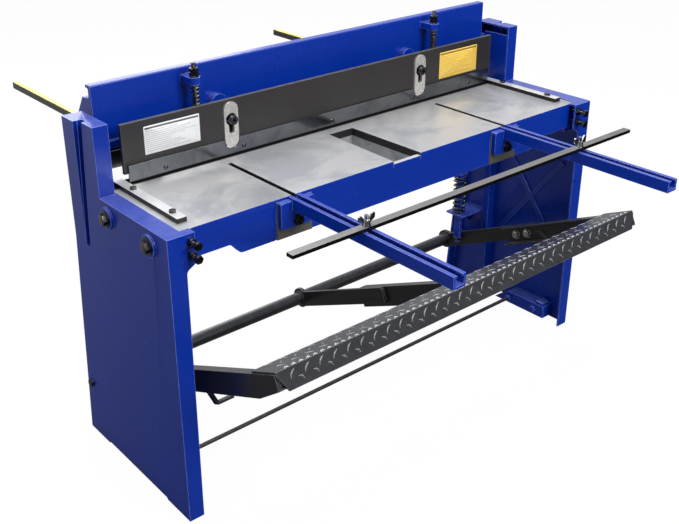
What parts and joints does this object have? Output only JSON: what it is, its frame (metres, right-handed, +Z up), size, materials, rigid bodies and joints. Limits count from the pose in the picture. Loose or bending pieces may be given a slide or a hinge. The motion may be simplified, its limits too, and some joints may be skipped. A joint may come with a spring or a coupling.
{
  "type": "foot-operated sheet metal squaring shear",
  "caption": "Blue foot-operated squaring shear with a steel table, hold-down bar, raked blade, spring-returned treadle and gauges.",
  "frame": {"origin": "on the floor, under the middle of the cutting line", "axes": "+X along the blades to the operator's right, +Y away from the operator, +Z up"},
  "size_m": [1.5448, 1.818, 1.048],
  "materials": {
    "blue_paint": "gloss blue enamel",
    "black_steel": "black oxide",
    "ground_steel": "ground and oiled",
    "blade_steel": "hardened and ground",
    "spring_steel": "oiled spring wire",
    "black_powder_coat": "satin black powder coat",
    "tread_plate": "black painted tread plate"
  },
  "bodies": {
    "frame": {"left_side_frame": "blue_paint", "right_side_frame": "blue_paint", "frame_bolts": "black_steel", "adjusting_bolts": "black_steel", "guide_plates": "ground_steel", "leg_stiffeners": "blue_paint", "foot_bars": "blue_paint", "tie_rod": "black_steel", "left_table": "ground_steel", "middle_table": "ground_steel", "right_table": "ground_steel", "bed_apron": "blue_paint", "bed_rear_beam": "blue_paint", "bed_ribs": "blue_paint", "bed_ends": "blue_paint", "lower_blade": "ground_steel", "side_gauges": "ground_steel", "left_support_arm": "blue_paint", "right_support_arm": "blue_paint", "spring_seats": "blue_paint", "pivot_pins": "black_steel", "return_springs": "spring_steel"},
    "ram": {"ram_beam": "blue_paint", "upper_blade": "blade_steel", "ram_slides": "blue_paint", "left_pull_link": "blue_paint", "right_pull_link": "blue_paint", "guide_pads": "blue_paint", "gauge_rods": "black_steel", "back_gauge": "black_steel"},
    "hold_down": {"hold_down_bar": "black_powder_coat", "hold_down_strip": "ground_steel", "keyhole_plates": "ground_steel", "hold_down_studs": "black_steel", "hold_down_springs": "spring_steel"},
    "treadle": {"treadle_tube": "black_powder_coat", "left_treadle_lever": "black_powder_coat", "right_treadle_lever": "black_powder_coat", "middle_treadle_lever": "black_powder_coat", "left_treadle_arm": "black_powder_coat", "right_treadle_arm": "black_powder_coat", "middle_treadle_arm": "black_powder_coat", "treadle_board": "tread_plate"},
    "front_gauge": {"front_gauge_bar": "black_powder_coat", "front_gauge_clamps": "black_steel"}
  },
  "joints": [
    {"name": "ram_slide", "type": "slide", "parent": "frame", "child": "ram", "axis": [0, 0, -1], "range_m": [0, 0.036], "stiffness_N_per_m": 30000, "springref_m": -0.085, "deforming": ["return_springs"]},
    {"name": "treadle_swing", "type": "hinge", "parent": "frame", "child": "treadle", "pos_m": [0, 0.093, 0.168], "axis": [1, 0, 0], "range_deg": [0, 28.74]},
    {"name": "hold_down_slide", "type": "slide", "parent": "ram", "child": "hold_down", "axis": [0, 0, 1], "range_m": [0, 0.027], "deforming": ["hold_down_springs"]},
    {"name": "front_gauge_slide", "type": "slide", "parent": "frame", "child": "front_gauge", "axis": [0, 1, 0], "range_m": [-0.25, 0.21]}
  ],
  "couplings": [
    {"joint": "treadle_swing", "follows": "ram_slide", "rad_per_m": 13.929},
    {"joint": "hold_down_slide", "follows": "ram_slide", "ratio": 0.75}
  ]
}
